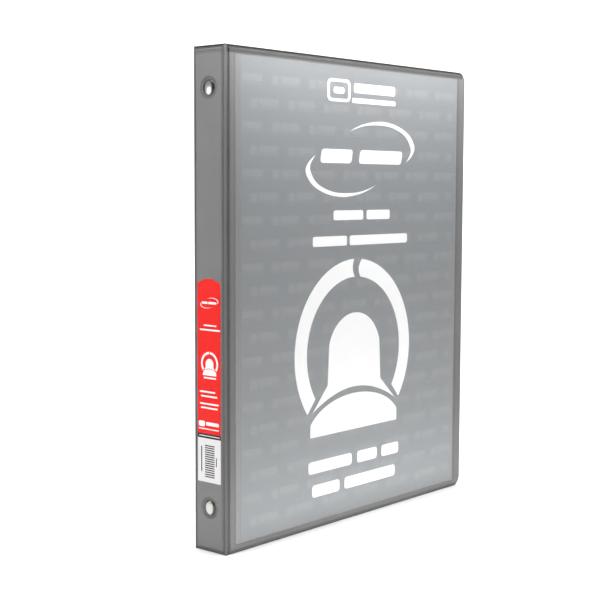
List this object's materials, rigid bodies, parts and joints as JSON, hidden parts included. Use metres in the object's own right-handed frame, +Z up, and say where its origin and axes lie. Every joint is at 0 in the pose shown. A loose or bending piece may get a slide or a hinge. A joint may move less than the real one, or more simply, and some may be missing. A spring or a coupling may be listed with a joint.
{
  "type": "ring binder",
  "caption": "Slim three-ring view binder: padded covers hinged to a narrow spine, clear overlay pockets, round snap rings opened by a lever at either end.",
  "frame": {"origin": "centre of the closed binder's footprint, on the surface it stands on", "axes": "+Z up along the spine, the spine at -X, free edges of the covers at +X, front cover at -Y, back cover at +Y"},
  "size_m": [0.2416, 0.027, 0.2921],
  "materials": {
    "chipboard": "rough",
    "grey_vinyl": "fine leather grain",
    "pocket_vinyl": "fine grain",
    "clear_film": "soft gloss, slightly rippled",
    "insert_paper": "printed",
    "label_card": "printed",
    "nickel_plate": "bright nickel plate",
    "blade_steel": "rolled"
  },
  "bodies": {
    "spine": {"spine_board": "chipboard", "spine_outer_vinyl": "grey_vinyl", "spine_inner_vinyl": "grey_vinyl", "spine_clear_overlay": "clear_film", "spine_label_card": "label_card", "front_hinge_vinyl": "grey_vinyl", "back_hinge_vinyl": "grey_vinyl", "ring_cover_plate": "nickel_plate", "upper_rivet": "nickel_plate", "lower_rivet": "nickel_plate", "upper_trigger_pin": "nickel_plate", "lower_trigger_pin": "nickel_plate"},
    "front_cover": {"front_board": "chipboard", "front_outer_vinyl": "grey_vinyl", "front_inner_vinyl": "grey_vinyl", "front_clear_overlay": "clear_film", "front_insert_sheet": "insert_paper", "front_inside_pocket": "pocket_vinyl"},
    "back_cover": {"back_board": "chipboard", "back_outer_vinyl": "grey_vinyl", "back_inner_vinyl": "grey_vinyl", "back_clear_overlay": "clear_film", "back_inside_pocket": "pocket_vinyl"},
    "front_ring_set": {"front_blade": "blade_steel", "front_ring_half_upper": "nickel_plate", "front_ring_half_middle": "nickel_plate", "front_ring_half_lower": "nickel_plate"},
    "back_ring_set": {"back_blade": "blade_steel", "back_ring_half_upper": "nickel_plate", "back_ring_half_middle": "nickel_plate", "back_ring_half_lower": "nickel_plate"},
    "upper_trigger_lever": {"upper_trigger": "nickel_plate"},
    "lower_trigger_lever": {"lower_trigger": "nickel_plate"}
  },
  "joints": [
    {"name": "front_cover_hinge", "type": "hinge", "parent": "spine", "child": "front_cover", "pos_m": [-0.11925, -0.012, 0.14725], "axis": [0, 0, -1], "range_deg": [0, 180]},
    {"name": "back_cover_hinge", "type": "hinge", "parent": "spine", "child": "back_cover", "pos_m": [-0.11925, 0.012, 0.14725], "axis": [0, 0, 1], "range_deg": [0, 180]},
    {"name": "front_rings_open", "type": "hinge", "parent": "spine", "child": "front_ring_set", "pos_m": [-0.11465, -0.007, 0.14725], "axis": [0, 0, -1], "range_deg": [0, 16]},
    {"name": "back_rings_open", "type": "hinge", "parent": "spine", "child": "back_ring_set", "pos_m": [-0.11465, 0.007, 0.14725], "axis": [0, 0, 1], "range_deg": [0, 16]},
    {"name": "upper_trigger_press", "type": "hinge", "parent": "spine", "child": "upper_trigger_lever", "pos_m": [-0.11485, 0, 0.28265], "axis": [0, -1, 0], "range_deg": [0, 28]},
    {"name": "lower_trigger_press", "type": "hinge", "parent": "spine", "child": "lower_trigger_lever", "pos_m": [-0.11485, 0, 0.01185], "axis": [0, 1, 0], "range_deg": [0, 28]}
  ],
  "couplings": [
    {"joint": "back_rings_open", "follows": "front_rings_open", "ratio": 1},
    {"joint": "upper_trigger_press", "follows": "front_rings_open", "ratio": 1.75},
    {"joint": "lower_trigger_press", "follows": "front_rings_open", "ratio": 1.75}
  ]
}
